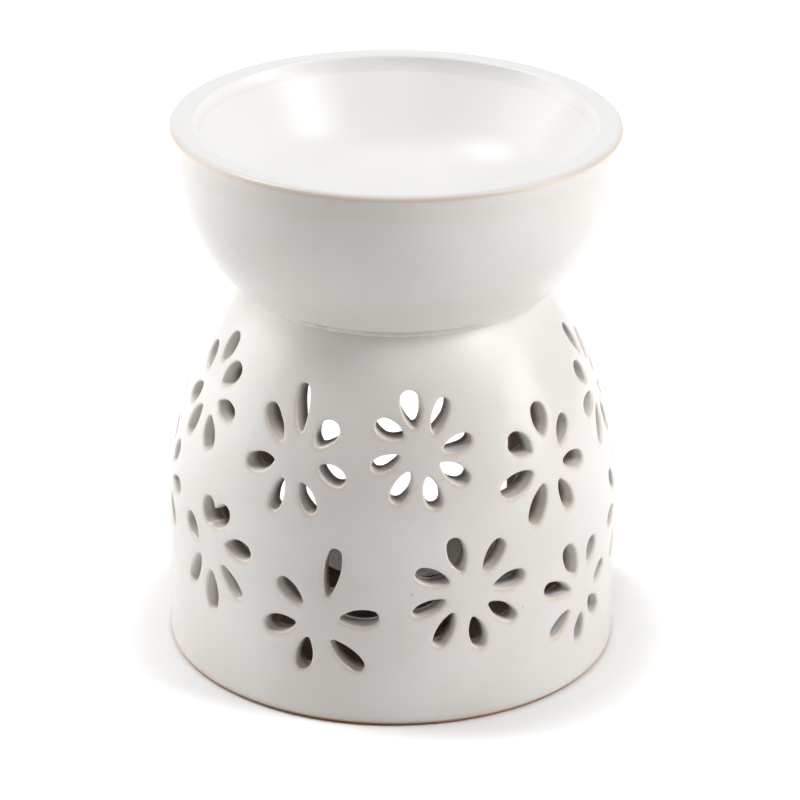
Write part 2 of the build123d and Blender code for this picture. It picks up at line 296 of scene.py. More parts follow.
def petalOutline(length, width):
    # pointed egg from its inner end at the origin along +y, points and outward normals, anticlockwise
    half = width / 2
    low = petalForm["widest"] * length
    high = length - low
    inner = petalForm["innerEnd"] * half
    side = (low**2 + half**2 - 2 * inner * low) / (2 * half - 2 * inner)
    outer = (2 * half * side - half**2 - high**2) / (2 * (side - high))
    start = math.atan2(inner - low, side - half)
    end = math.atan2(length - outer - low, side - half)
    ends, sides = petalForm["endPoints"], petalForm["sidePoints"]
    right = [(half - side, low, side, a) for a in np.linspace(start, end, sides)]
    tip = [(0, length - outer, outer, a) for a in np.linspace(end, math.pi - end, ends + 2)[1:-1]]
    left = [(side - half, low, side, a) for a in np.linspace(math.pi - end, math.pi - start, sides)]
    root = [(0, inner, inner, a) for a in np.linspace(math.pi - start, 2 * math.pi + start, ends + 2)[1:-1]]
    arcs = np.array(right + tip + left + root)
    normals = np.stack([np.cos(arcs[:, 3]), np.sin(arcs[:, 3])], 1)
    return arcs[:, :2] + arcs[:, 2:3] * normals, normals


def turned(points, degrees):
    a = math.radians(degrees)
    x, y = points[:, 0], points[:, 1]
    return np.stack([x * math.cos(a) + y * math.sin(a), y * math.cos(a) - x * math.sin(a)], 1)


def petalOpening(azimuth, height, petal):
    turn, swing, reach = petal[0], petal[4], petalForm["reach"]
    startShare, endShare, widthShare = (share / 100 for share in petal[1:4])
    length = (endShare - startShare) * reach
    middle = startShare * reach + length / 2
    lean = math.asin(shoulderRise(height) / shoulderRadius)
    sideStep = middle * math.sin(math.radians(turn)) / outerRadius(height)
    level = height + middle * math.cos(math.radians(turn)) * math.cos(lean)
    outline, normals = petalOutline(length, widthShare * reach)
    return {
        "azimuth": math.radians(azimuth) + float(sideStep),
        "level": float(level),
        "tilt": math.asin(shoulderRise(level) / shoulderRadius),
        "outline": turned(outline - (0, length / 2), turn + swing),
        "normals": turned(normals, turn + swing),
        "waves": [dice.uniform(0, 2 * math.pi) for _ in range(6)],
    }


def isInside(points, loop):
    x, y = points[:, :1], points[:, 1:]
    ax, ay = loop[:, 0], loop[:, 1]
    bx, by = np.roll(ax, -1), np.roll(ay, -1)
    crosses = (ay > y) != (by > y)
    run = np.where(by == ay, 1.0, by - ay)
    return np.sum(crosses & (x < ax + (y - ay) * (bx - ax) / run), axis=1) % 2 == 1


def evenLoop(loop, count):
    closed = np.vstack([loop, loop[:1]])
    along = np.concatenate([[0], np.cumsum(np.linalg.norm(np.diff(closed, axis=0), axis=1))])
    places = np.linspace(0, along[-1], count, endpoint=False)
    return np.stack([np.interp(places, along, closed[:, k]) for k in (0, 1)], 1)


# two petals that were cut into each other: the thin points of clay where they meet wear round,
# fully within reach of the meeting and by a small share elsewhere
wear = {"petalPoints": 120, "wornPoints": 110, "points": 60, "rounds": 24, "reach": 1.5, "elsewhere": 0.1}


def joinedOpening(first, second):
    # one opening with the outline round both petals
    points, count = ringPoints(second, 0, outerRadius, 0), wear["petalPoints"]
    angle = np.arctan2(points[:, 0], -points[:, 1]) - first["azimuth"]
    across = outerRadius(points[:, 2]) * np.sin(angle)
    up = (points[:, 2] - first["level"]) / math.cos(first["tilt"])
    loops = [evenLoop(outline, count) for outline in (first["outline"], np.stack([across, up], 1))]
    sides = []
    for loop, other in (loops, loops[::-1]):
        keep = ~isInside(loop, other)
        start = next(i for i in range(count) if keep[i] and not keep[i - 1])
        sides.append(np.roll(loop, -start, 0)[: keep.sum()])
    loop = evenLoop(np.vstack(sides), wear["wornPoints"])
    meeting = np.array([side[0] for side in sides])
    near = np.min(np.linalg.norm(loop[:, None] - meeting[None], axis=2), axis=1)
    worn = wear["elsewhere"] + (1 - wear["elsewhere"]) * bell(near, wear["reach"])[:, None]
    for _ in range(wear["rounds"]):
        loop = loop + worn * ((np.roll(loop, 1, 0) + np.roll(loop, -1, 0)) / 2 - loop) / 2
    loop = evenLoop(loop, wear["points"])
    along = np.roll(loop, -1, 0) - np.roll(loop, 1, 0)
    normals = np.stack([along[:, 1], -along[:, 0]], 1) / np.linalg.norm(along, axis=1)[:, None]
    return dict(first, outline=loop, normals=normals)


def archOpening():
    half, spring = arch["width"] / 2, arch["springHeight"]
    sill = chamber["floorHeight"]
    bottom = [(x, sill, 0, -1) for x in np.linspace(0, half, arch["sillPoints"])[:-1]]
    side = [(half, z, 1, 0) for z in np.linspace(sill, spring, arch["sidePoints"])[1:-1]]
    top = []
    for a in np.linspace(0, math.pi / 2, arch["topPoints"]):
        lean = math.hypot(math.cos(a) / half, math.sin(a) / arch["rise"])
        normal = (math.cos(a) / half / lean, math.sin(a) / arch["rise"] / lean)
        top.append((half * math.cos(a), spring + arch["rise"] * math.sin(a), *normal))
    right = np.array(bottom + [(half, sill, 1, -1)] + side + top)
    left = right[1:-1][::-1] * (-1, 1, -1, 1)
    both = np.vstack([right, left])
    return {
        "azimuth": math.pi,
        "level": 0.0,
        "tilt": 0.0,
        "outline": both[:, :2],
        "normals": both[:, 2:],
        "waves": [0.0] * 6,
        "half": len(right),
    }


def knifeWave(opening, phases):
    t = np.linspace(0, 2 * math.pi, len(opening["outline"]), endpoint=False)
    return sum(np.sin((k + 2) * t + phase) for k, phase in enumerate(phases)) / 2


def ringPoints(opening, offset, radiusAt, depth):
    # a ring of points round an opening, on a wall, set out by offset and sunk towards the axis by depth
    spread = opening["outline"] + opening["normals"] * np.reshape(offset, (-1, 1))
    level = opening["level"] + spread[:, 1] * math.cos(opening["tilt"])
    out = np.sqrt(radiusAt(level) ** 2 - spread[:, 0] ** 2) - depth
    s, c = math.sin(opening["azimuth"]), math.cos(opening["azimuth"])
    return np.stack([out * s + spread[:, 0] * c, spread[:, 0] * s - out * c, level], 1)


def openingRows(opening):
    # rings from the outside through the wall to the lining, with both edges rounded
    isArch = "half" in opening
    cut = chamber["archRound"] if isArch else chamber["cutRound"]
    back = chamber["liningRound"]
    level = opening["level"] + opening["outline"][:, 1] * math.cos(opening["tilt"])
    floor = chamber["floorHeight"]
    # the arch's inner edge is square along the floor and rounds above it
    lift = smoothStep(floor, floor + chamber["squareEdge"], level) if isArch else 1
    outWave = 0 if isArch else chamber["wobble"] * knifeWave(opening, opening["waves"][:3])
    inWave = 0 if isArch else chamber["liningWobble"] * knifeWave(opening, opening["waves"][3:])
    rows = []
    for a in np.radians((0, 22.5, 45, 67.5, 90)):
        offset = outWave + cut * (1 - math.sin(a))
        rows.append(ringPoints(opening, offset, outerRadius, cut * (1 - math.cos(a))))
    deep = []
    for b in np.radians((0, 45, 90)):
        offset = (inWave + back * (1 - math.cos(b))) * lift
        deep.append(ringPoints(opening, offset, innerRadius, -back * (1 - math.sin(b)) * lift))
    outer, inner = rows[-1], deep[0]
    between = [outer + (inner - outer) * share for share in chamber["wallRows"]]
    return rows + between + deep


def wallSteps(radiusAt, low, high):
    # levels up the wall, the wall's radius there and the length of each step between them
    levels = np.linspace(low, high, chamber["wallLevels"])
    radii = radiusAt(levels)
    return levels, radii, np.hypot(np.diff(levels), np.diff(radii))


def flatMap(radiusAt, low, high):
    # lays the wall flat as if seen from above, foot outermost; small things on it keep their shape
    levels, radii, steps = wallSteps(radiusAt, low, high)
    shrink = np.concatenate([[0], np.cumsum(2 * steps / (radii[1:] + radii[:-1]))])
    widest = 10 * bodyRadius

    def toFlat(points):
        out = widest * np.exp(-np.interp(points[:, 2], levels, shrink))
        angle = np.arctan2(points[:, 0], -points[:, 1])
        return np.stack([out * np.sin(angle), -out * np.cos(angle)], 1)

    return toFlat


def aroundAxis(radius, level, angles):
    angles = np.asarray(angles, float)
    return np.stack([radius * np.sin(angles), -radius * np.cos(angles), np.full(len(angles), level)], 1)


def wallGrid(radiusAt, low, high, step):
    # staggered rows of points over the wall
    levels, _, steps = wallSteps(radiusAt, low, high)
    along = np.concatenate([[0], np.cumsum(steps)])
    rows = int(along[-1] / (step * chamber["rowShare"]))
    points = []
    for row in range(1, rows):
        level = float(np.interp(along[-1] * row / rows, along, levels))
        radius = float(radiusAt(level))
        count = int(2 * math.pi * radius / step)
        points.append(aroundAxis(radius, level, (np.arange(count) + row % 2 / 2) / count * 2 * math.pi))
    return np.vstack(points)


def thinOut(candidates, taken, gap):
    # keeps the candidates that lie no nearer than gap to a taken point or to one kept before
    cells = {}
    around = [(i, j, k) for i in (-1, 0, 1) for j in (-1, 0, 1) for k in (-1, 0, 1)]
    kept = []
    for number, point in enumerate([*taken, *candidates]):
        x, y, z = point
        i, j, k = int(x // gap), int(y // gap), int(z // gap)
        if number >= len(taken):
            near = [q for a, b, c in around for q in cells.get((i + a, j + b, k + c), ())]
            if any((x - q[0]) ** 2 + (y - q[1]) ** 2 + (z - q[2]) ** 2 < gap * gap for q in near):
                continue
            kept.append(point)
        cells.setdefault((i, j, k), []).append((x, y, z))
    return np.array(kept)


def fillBetween(border, holes, free, toFlat, gap):
    # triangles over a sheet inside its border, round its holes, through the free points
    loops = [border, *holes]
    flats = [toFlat(loop) for loop in loops]
    spots = toFlat(free)
    keep = isInside(spots, flats[0])
    for flat in flats[1:]:
        near = keep & np.all((spots > flat.min(0)) & (spots < flat.max(0)), axis=1)
        keep[near] = ~isInside(spots[near], flat)
    free = thinOut(free[keep], np.vstack(loops), gap)
    points = np.vstack([*loops, free])
    places = np.vstack([*flats, toFlat(free)])
    edges, owner = [], np.full(len(points), -1)
    start = 0
    for number, loop in enumerate(loops):
        ends = range(start, start + len(loop))
        edges += zip(ends, [*ends[1:], start])
        owner[start : start + len(loop)] = number
        start += len(loop)
    made = delaunay_2d_cdt([Vector(p) for p in places], edges, [], 0, 1e-5, True)
    source = [found[0] for found in made[3]]
    faces = np.array([[source[v] for v in face] for face in made[2]])
    owners = owner[faces]
    inOne = (owners[:, 0] >= 0) & (owners[:, 0] == owners[:, 1]) & (owners[:, 1] == owners[:, 2])
    wanted = np.ones(len(faces), bool)
    for number, flat in enumerate(flats):
        these = np.nonzero(inOne & (owners[:, 0] == number))[0]
        inside = isInside(places[faces[these]].mean(axis=1), flat)
        wanted[these[inside if number else ~inside]] = False
    return points, faces[wanted]


def bridge(rows):
    # faces between rings of equal length
    count = len(rows[0])
    faces = []
    for low in range(0, count * (len(rows) - 1), count):
        for i in range(count):
            j = (i + 1) % count
            faces.append((low + i, low + j, low + count + j, low + count + i))
    return np.vstack(rows), faces


def joinPatches(patches):
    points, faces, count = [], [], 0
    for patchPoints, patchFaces in patches:
        points.append(patchPoints)
        faces += [tuple(int(v) + count for v in face) for face in patchFaces]
        count += len(patchPoints)
    return np.vstack(points), faces


def chamberOpenings():
    openings = []
    for azimuth, heightShare, petals in flowers:
        made = [petalOpening(azimuth, heightShare * neckHeight, petal) for petal in petals]
        if petals is lowerLeft:
            made[:2] = [joinedOpening(made[0], made[1])]
        openings += made
    return openings


def wallPatch(border, holes, guards, radiusAt, low, margin, step):
    # one face of the wall, from its lower edge up to the neck
    free = np.vstack([*guards, wallGrid(radiusAt, low, neckHeight, step)])
    free = free[(free[:, 2] > low + margin) & (free[:, 2] < neckHeight - chamber["skinMargin"])]
    return fillBetween(border, holes, free, flatMap(radiusAt, low, neckHeight), chamber["pointGap"])


def footProfile():
    # from the axis over the recess and round the ring that it stands on
    ring, recess, edge = bodyRadius - chamber["footRing"], chamber["footRecess"], chamber["footRound"]
    corner, rim = chamber["recessCorner"], chamber["ringEdge"]
    profile = [(r, recess) for r in np.linspace(0, ring - 1, 12)]
    profile += arcPoints((ring - 1, recess - corner), corner, 90, 0, 4)
    profile += arcPoints((ring + 0.2, rim), rim, 180, 270, 4)
    profile += [(r, 0) for r in np.linspace(ring + 1.5, bodyRadius - edge - 1, 3)]
    return profile + arcPoints((bodyRadius - edge, edge), edge, -90, 0, 7)


def makeChamber(material):
    openings, back = chamberOpenings(), archOpening()
    rows = [openingRows(opening) for opening in openings]
    archRows = openingRows(back)
    turns = np.linspace(-math.pi, math.pi, chamber["columns"], endpoint=False)

    guards = []
    for opening in openings:
        for guard in chamber["skinGuards"]:
            guards.append(ringPoints(opening, chamber["cutRound"] + guard, outerRadius, 0))
    guards.append(ringPoints(back, chamber["archRound"] + chamber["archGuard"], outerRadius, 0))
    low, skinStep, margin = chamber["footRound"], chamber["skinStep"], chamber["skinMargin"]
    outerLow = aroundAxis(bodyRadius, low, turns)
    outerTop = aroundAxis(chamber["neckRadius"], neckHeight, turns)
    holes = [r[0] for r in rows] + [archRows[0], outerTop]
    patches = [wallPatch(outerLow, holes, guards, outerRadius, low, margin, skinStep)]

    # the lining's lower edge follows the floor and climbs over the arch
    corner, archRing = arch["sillPoints"] - 1, archRows[-1]
    sill = chamber["floorHeight"]
    reach = float(innerRadius(sill))
    side = math.pi - math.asin(arch["width"] / 2 / reach)
    count = int(2 * side * reach / chamber["liningStep"])
    floorEdge = aroundAxis(reach, sill, np.linspace(-side, side, count + 1)[1:-1])
    overArch = archRing[corner : len(archRing) - corner + 1][::-1]
    underArch = np.vstack([archRing[len(archRing) - corner :], archRing[: corner + 1]])
    innerTop = aroundAxis(float(innerRadius(neckHeight)), neckHeight, turns)
    apart, margin, liningStep = chamber["liningGuard"], chamber["liningMargin"], chamber["liningStep"]
    guards = [ringPoints(o, chamber["liningRound"] + apart, innerRadius, 0) for o in openings]
    holes = [r[-1] for r in rows] + [innerTop]
    border = np.vstack([floorEdge, overArch])
    lining, faces = wallPatch(border, holes, guards, innerRadius, sill, margin, liningStep)
    patches.append((lining, faces[:, ::-1]))

    step = chamber["floorStep"]
    span = np.arange(-reach, reach, step)
    grid = np.array([(x + step / 2 * (k % 2), y, sill) for k, y in enumerate(span) for x in span])
    border = np.vstack([floorEdge, underArch])
    patches.append(fillBetween(border, [], grid, lambda p: p[:, :2], chamber["floorGap"]))

    patches += [bridge(r) for r in rows + [archRows]]
    patches.append(bridge([outerTop, innerTop]))
    patches.append(bridge([aroundAxis(r, z, turns) for r, z in footProfile()]))

    points, faces = joinPatches(patches)
    piece = newPiece("chamber", points, faces, material)
    markCuts(piece, openings + [back], rows + [archRows])
    return piece


def nearest(targets, points):
    # how far each point is from the nearest target, and which target that is
    tree = KDTree(len(targets))
    for number, target in enumerate(targets):
        tree.insert(target, number)
    tree.balance()
    found = [tree.find(point) for point in points]
    return np.array([f[2] for f in found]), [f[1] for f in found]


# where the glaze thins, gathers or stops, and where painted highlight and shade go, in millimetres
glazeMarks = {
    "edgeWidth": 0.32,
    "edgeLevel": (0.65, 0.35),  # clay shows most along a petal's lower edge, least along its upper one
    "lipWidth": 0.3,  # white glaze on the inner lip below each petal, kept only on lower lips as a painted highlight line
    "lipGain": 1.3,
    "footEdge": (0.9, 0.5),  # height and width of the thin line round the foot
    "footLineAndShade": (1.15, 0.6),  # glaze ends between these heights; below them the foot edge is painted dark, partly bare clay and partly painted contact shade
    "footBand": 2.0,
    "standing": 0.35,  # the ring is bare up to here
}


def markCuts(piece, openings, rows):
    # how near a cut edge each point lies, how deep in the wall, and what stays unglazed under the foot
    marks, points = glazeMarks, meshPoints(piece)
    radius, height = np.hypot(points[:, 0], points[:, 1]), points[:, 2]
    lean = np.concatenate([o["normals"][:, 1] for o in openings])
    gap, edge = nearest(np.vstack([r[1] for r in rows]), points)
    even, rise = marks["edgeLevel"]
    cutEdge = bell(gap, marks["edgeWidth"]) * (even - rise * lean[edge])
    atFoot = radius > bodyRadius - marks["footBand"]
    middle, width = marks["footEdge"]
    setMask(piece, "cutEdge", np.maximum(cutEdge, bell(height - middle, width) * atFoot))
    setMask(piece, "footLineAndShade", smoothStep(*marks["footLineAndShade"], height) * atFoot)
    gap, lip = nearest(np.vstack([r[-2] for r in rows]), points)
    below = np.clip(-lean[lip] * marks["lipGain"], 0, 1)
    setMask(piece, "lowerLipGlazeAndHighlight", bell(gap, marks["lipWidth"]) * below)
    level = np.clip(height, chamber["floorHeight"], neckHeight)
    outside, inside = outerRadius(level), innerRadius(level)
    depth = np.clip((outside - radius) / (outside - inside), 0, 1)
    under = height < chamber["footRecess"] + 0.2
    setMask(piece, "wallDepth", np.where(under, 0, depth))
    recessed = radius < bodyRadius - chamber["footRing"] + marks["footBand"]
    setMask(piece, "bareClay", under & (recessed | (height < marks["standing"])))


# oil bowl: thick rim, full side, rounded heel, sloped inside, domed recess over the flame
bowl = {
    "heelRadius": 9.0,
    "heelEnd": 75.0,  # degrees below level, where the heel meets the foot
    "insideDepth": 22.5,
    "lipLean": 12.0,  # degrees from upright, just under the rim and further down
    "lipCurve": 8.0,
    "insideLean": 36.0,
    "insideCorner": 22.0,
    "recessRadius": 28.0,
    "recessDepth": 8.5,
    "rimWidth": 5.5,
    "rimOuterRound": 1.4,
    "rimInnerRound": 0.8,
    "wornLine": (0.25, 0.6, 0.9, 1.8),  # below the rim: where it starts, is full, fades and ends
    "rimBand": (4.2, 1.8),  # its middle and width below the rim
    "bandRadius": 44.0,
    # how far a face turns up and inward, where the inside is painted whiter as painted light from above
    "topLightFacing": (0.3, 0.95),
    "columns": 192,
    "unevenness": 0.06,
}


def bowlOutline():
    radius, rimHeight, footHeight = bowlHigh.x / mm, bowlHigh.z / mm, bowlLow.z / mm
    heelRadius, corner, lean = bowl["heelRadius"], bowl["insideCorner"], bowl["insideLean"]
    outerRound, innerRound = bowl["rimOuterRound"], bowl["rimInnerRound"]
    foot = chamber["neckRadius"]
    sideLevel = rimHeight - outerRound
    heelTurn = math.radians(bowl["heelEnd"])
    heelCentre = (foot - heelRadius * math.cos(heelTurn), footHeight + heelRadius * math.sin(heelTurn))
    across, drop = heelCentre[0] - radius, sideLevel - heelCentre[1]
    sideRadius = (across**2 + drop**2 - heelRadius**2) / (-2 * (across + heelRadius))
    sideCentre = (radius - sideRadius, sideLevel)
    heelStart = -math.degrees(math.atan2(drop, heelCentre[0] - sideCentre[0]))
    lipCentre = (radius - bowl["rimWidth"] + innerRound, rimHeight - innerRound)
    rimTop = np.linspace(radius - outerRound, lipCentre[0], 5)[1:-1]
    lipLean, curve, turn = bowl["lipLean"], bowl["lipCurve"], math.radians(lean)
    lip = arcPoints(lipCentre, innerRound, 90, 180 - lipLean, 8)
    easeX = lip[-1][0] - curve * math.cos(math.radians(lipLean))
    easeCentre = (easeX, lip[-1][1] + curve * math.sin(math.radians(lipLean)))
    lip += arcPoints(easeCentre, curve, -lipLean, -lean, 8)[1:]
    floorLevel = rimHeight - bowl["insideDepth"]
    wallFoot = floorLevel + corner * (1 - math.sin(turn))
    wallFootRadius = lip[-1][0] - (lip[-1][1] - wallFoot) * math.tan(turn)
    cornerCentre = (wallFootRadius - corner * math.cos(turn), floorLevel + corner)
    wallTop, wallEnd = np.array(lip[-1]), np.array((wallFootRadius, wallFoot))
    wall = [tuple(wallTop + (wallEnd - wallTop) * share) for share in np.linspace(0, 1, 10)[1:]]
    recess, depth = bowl["recessRadius"], bowl["recessDepth"]
    domeRadius = (recess**2 + depth**2) / (2 * depth)
    domeEnd = math.degrees(math.asin((domeRadius - depth) / domeRadius))

    outline = arcPoints((0, footHeight + depth - domeRadius), domeRadius, 90, domeEnd, 14)
    outline[0] = (0, outline[0][1])
    outline += [(recess + 1.2, footHeight), (recess + 2.4, footHeight)]
    outline += arcPoints(heelCentre, heelRadius, -bowl["heelEnd"], heelStart, 10)
    outline += arcPoints(sideCentre, sideRadius, heelStart, 0, 20)[1:]
    outline += arcPoints((radius - outerRound, sideLevel), outerRound, 0, 90, 9)[1:]
    outline += [(r, rimHeight) for r in rimTop] + lip + wall
    outline += arcPoints(cornerCentre, corner, -lean, -90, 24)[1:]
    outline += [(r, floorLevel) for r in np.linspace(cornerCentre[0], 0, 10)[1:]]
    return outline


def bowlWave(radius, height, angle):
    # the wheel and the drying leave it a little out of true
    share = bowl["unevenness"] * min(radius / 20, 1)
    turn = math.sin(2 * angle + 0.6) + 0.5 * math.sin(3 * angle + 2.1 + height / 9)
    return radius - share * (1.5 + turn) / 2, height


def makeBowl(material):
    points, faces = spin(bowlOutline(), bowl["columns"], bowlWave)
    piece = newPiece("oilBowl", points, faces, material)
    places = meshPoints(piece)
    radius, drop = np.hypot(places[:, 0], places[:, 1]), bowlHigh.z / mm - places[:, 2]
    start, full, fade, end = bowl["wornLine"]
    outside = radius > bowlHigh.x / mm - bowl["rimOuterRound"]
    worn = smoothStep(start, full, drop) * smoothStep(end, fade, drop)
    setMask(piece, "rimEdge", np.where(outside, worn, 0))
    middle, width = bowl["rimBand"]
    setMask(piece, "rimBand", np.where(radius > bowl["bandRadius"], bell(drop - middle, width), 0))
    facing = np.empty(len(places) * 3, np.float32)
    piece.data.vertex_normals.foreach_get("vector", facing)
    facing = facing.reshape(-1, 3).astype(float)
    outward = (facing[:, 0] * places[:, 0] + facing[:, 1] * places[:, 1]) / np.maximum(radius, 1e-6)
    # faces turned up and inward are painted whiter as painted light
    setMask(piece, "paintedTopLight", smoothStep(*bowl["topLightFacing"], facing[:, 2] - outward))
    return piece


# slip squeezed out between neck and bowl
slip = {
    "landInset": 1.0,
    "beadProud": 0.62,
    "beadHalfHeight": 0.72,
    "beadSunk": 0.5,  # the bead starts this far inside the neck's edge
    "columns": 240,
    "unevenness": 0.12,
    "setBack": 0.04,
    "lumps": ((5, 0.3), (11, 2.0), (17, 4.4), (29, 1.2)),  # how many round the seam, and their turn
}


def makeSlip(material):
    slipLow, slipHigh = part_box("joint_slip")
    low, high = slipLow.z / mm, slipHigh.z / mm
    middle, inner = (low + high) / 2, float(outerRadius(low)) - chamber["wall"] + slip["landInset"]
    neck, proud, half = chamber["neckRadius"], slip["beadProud"], slip["beadHalfHeight"]
    outline = [(inner, high), (inner, low), (neck - slip["beadSunk"], low)]
    for a in np.radians(np.linspace(-80, 80, 11)):
        outline.append((neck + proud * math.cos(a), middle + half * math.sin(a)))
    outline += [(neck - slip["beadSunk"], high), (inner, high)]

    def wave(radius, height, angle):
        if radius < neck - slip["beadSunk"] - 0.1:
            return radius, height
        lump = sum(math.sin(n * angle + shift) for n, shift in slip["lumps"]) / len(slip["lumps"])
        return radius + slip["unevenness"] * lump - slip["setBack"], height

    points, faces = spin(outline, slip["columns"], wave)
    return newPiece("jointSlip", points, faces, material, 80)


# tealight: pressed foil cup, poured wax, braided wick
tealight = {
    "foil": 0.4,
    "lipRadius": 0.5,
    "cornerRadius": 1.2,
    "pressedRing": 13.2,
    "pressedStep": 0.3,
    "grooveDepth": 0.16,
    "grooveWidth": 0.35,
    "grooveLevels": (4.2, 11.6),  # above the foot of the cup
    "trueRadius": 15.0,  # the cup's foot is round to here
    "creases": 80,
    "creaseDepth": 0.025,
    "columns": 160,
    "waxHeight": 12.4,
    "meniscus": 0.35,
    "wickRadius": 0.75,
    "braidLength": 2.6,
    "wickSink": 0.05,
    "wickBend": 0.4,
}


def cupWave(radius, height, angle):
    # thin foil is never quite round, and its rolled lip has fine creases
    if radius <= tealight["trueRadius"]:
        return radius, height
    soft = 0.05 * math.sin(3 * angle + 1.0 + height / 6) + 0.03 * math.sin(7 * angle + height / 3)
    onLip = height > cupHigh.z / mm - 2.2 * tealight["lipRadius"]
    crease = tealight["creaseDepth"] * math.sin(tealight["creases"] * angle) if onLip else 0
    return radius + min(soft, 0) + min(crease, 0), height


def makeCup(material):
    foot, top, radius = cupLow.z / mm, cupHigh.z / mm, cupHigh.x / mm - tealight["lipRadius"]
    foil, corner, ring = tealight["foil"], tealight["cornerRadius"], tealight["pressedRing"]
    step, lip, groove = tealight["pressedStep"], tealight["lipRadius"], tealight["grooveDepth"]

    def wall(side):
        levels = np.linspace(foot + corner, top - 1.2, 44)
        width, grooves = tealight["grooveWidth"], tealight["grooveLevels"]
        dents = groove * sum(bell(levels - foot - above, width) for above in grooves)
        return list(zip(side - dents, levels))

    outline = [(r, foot + step) for r in (0, 4, 8, ring - 0.5)]
    outline += [(ring - 0.2, foot + step * 0.8), (ring + 0.2, foot + step * 0.2), (ring + 0.5, foot)]
    outline += arcPoints((radius - corner, foot + corner), corner, -90, 0, 6)
    outline += wall(radius)[1:]
    outline += arcPoints((radius, top - lip), lip, -90, 200, 14)
    outline += wall(radius - foil)[::-1]
    outline += arcPoints((radius - corner, foot + corner), corner - foil, 0, -90, 5)[1:]
    outline += [(ring + 0.5, foot + foil), (ring - 0.3, foot + foil + step), (0, foot + foil + step)]
    points, faces = spin(outline, tealight["columns"], cupWave)
    return newPiece("tealightCup", points, faces, material, 60)


def makeWax(material):
    waxLow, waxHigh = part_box("tealight_wax")
    low, radius, top = waxLow.z / mm + 0.35, waxHigh.x / mm, waxHigh.z / mm
    hole = tealight["wickRadius"] - tealight["wickSink"]
    outline = [(hole, low), (radius - 1.2, low), (radius - 0.2, low + 1.2)]
    outline += [(radius - 0.2, z) for z in np.linspace(low + 2, top - 0.6, 8)]
    outline += [(radius - 0.22, top + 0.05), (radius - 0.32, top + tealight["meniscus"] - 0.08)]
    for r in np.linspace(radius - 0.6, hole + 1.6, 40):
        share = (radius - r) / radius
        edge = tealight["meniscus"] * math.exp(-share * 14)
        outline.append((r, top - 0.12 + edge - 0.25 * (1 - (r / radius) ** 2)))
    # the wax dips round the wick and climbs a little way up it
    climb = ((1.0, -0.33), (0.5, -0.18), (0.12, 0.12), (0, 0.15))
    outline += [(hole + out, top + up) for out, up in climb] + [(hole, low)]

    def wave(r, z, angle):
        if z < top - 0.6:
            return r, z
        ripple = math.sin(2 * angle + r / 3) * 0.05 + math.sin(5 * angle + r * 0.7) * 0.025
        return r, z + ripple * min(r / 6, 1) * min((radius - r) / 2, 1)

    points, faces = spin(outline, tealight["columns"], wave)
    return newPiece("tealightWax", points, faces, material, 60)


def makeWick(material):
    low, top, radius = wickLow.z / mm, wickHigh.z / mm, tealight["wickRadius"]
    levels = list(np.linspace(low, top - 0.7, 110))
    outline = [(0, low)] + [(radius, z) for z in levels]
    roundedTop = ((0.97, 0.45), (0.86, 0.2), (0.62, 0.06), (0.3, 0.01), (0, 0))
    outline += [(radius * share, top - drop) for share, drop in roundedTop]
    waxTop = low + tealight["waxHeight"]

    def wave(r, z, angle):
        # two sets of strands cross over each other
        turn = 2 * math.pi * (z - low) / tealight["braidLength"]
        over = max(math.sin(3 * angle + turn), math.sin(3 * angle - turn))
        return r * (0.9 + 0.1 * over), z

    points, faces = spin(outline, 40, wave)
    free, bend = top - waxTop, tealight["wickBend"]
    points = [(x + bend * (max(z - waxTop, 0) / free) ** 2, y, z) for x, y, z in points]
    return newPiece("tealightWick", points, faces, material, 80)


# colour and node helpers
def paint(red, green, blue):
    # a screen colour, 0 to 255, as the linear colour that a socket takes
    shares = [c / 255 for c in (red, green, blue)]
    return tuple(s / 12.92 if s <= 0.04045 else ((s + 0.055) / 1.055) ** 2.4 for s in shares) + (1.0,)


def feed(tree, node, inputs):
    # each input takes another node's output or a plain value
    for name, value in inputs.items():
        if isinstance(value, bpy.types.NodeSocket):
            tree.links.new(value, node.inputs[name])
        else:
            node.inputs[name].default_value = value


def addNode(tree, kind, settings=None, inputs=None):
    node = tree.nodes.new(kind)
    for name, value in (settings or {}).items():
        setattr(node, name, value)
    feed(tree, node, inputs or {})
    return node


def objectPlace(tree):
    return addNode(tree, "ShaderNodeTexCoord").outputs["Object"]


def noise(tree, place, scale, detail=4, rough=0.5, distortion=0):
    inputs = {"Vector": place, "Scale": scale, "Detail": detail, "Roughness": rough, "Distortion": distortion}
    return addNode(tree, "ShaderNodeTexNoise", None, inputs).outputs["Fac"]


def remap(tree, value, low, high, toLow=0.0, toHigh=1.0):
    inputs = {"Value": value, "From Min": low, "From Max": high, "To Min": toLow, "To Max": toHigh}
    return addNode(tree, "ShaderNodeMapRange", {"interpolation_type": "SMOOTHSTEP"}, inputs).outputs["Result"]


def calc(tree, operation, first, second):
    return addNode(tree, "ShaderNodeMath", {"operation": operation}, {0: first, 1: second}).outputs[0]


def times(tree, first, second):
    return calc(tree, "MULTIPLY", first, second)


def plus(tree, first, second):
    return calc(tree, "ADD", first, second)


def mixColour(tree, share, first, second):
    # the mix node's share and its two colours are its inputs 0, 6 and 7, its colour is output 2
    inputs = {0: share, 6: first, 7: second}
    return addNode(tree, "ShaderNodeMix", {"data_type": "RGBA"}, inputs).outputs[2]


def surfaceMask(tree, name):
    return addNode(tree, "ShaderNodeAttribute", {"attribute_name": name}).outputs["Fac"]


def newGroup(name, inputs, outputs):
    group = bpy.data.node_groups.new(name, "ShaderNodeTree")
    for label, value in inputs.items():
        kind = "NodeSocketVector" if isinstance(value, tuple) else "NodeSocketFloat"
        socket = group.interface.new_socket(name=label, in_out="INPUT", socket_type=kind)
        socket.default_value = value
    for label in outputs:
        group.interface.new_socket(name=label, in_out="OUTPUT", socket_type="NodeSocketFloat")
    return group, group.nodes.new("NodeGroupInput").outputs, group.nodes.new("NodeGroupOutput")


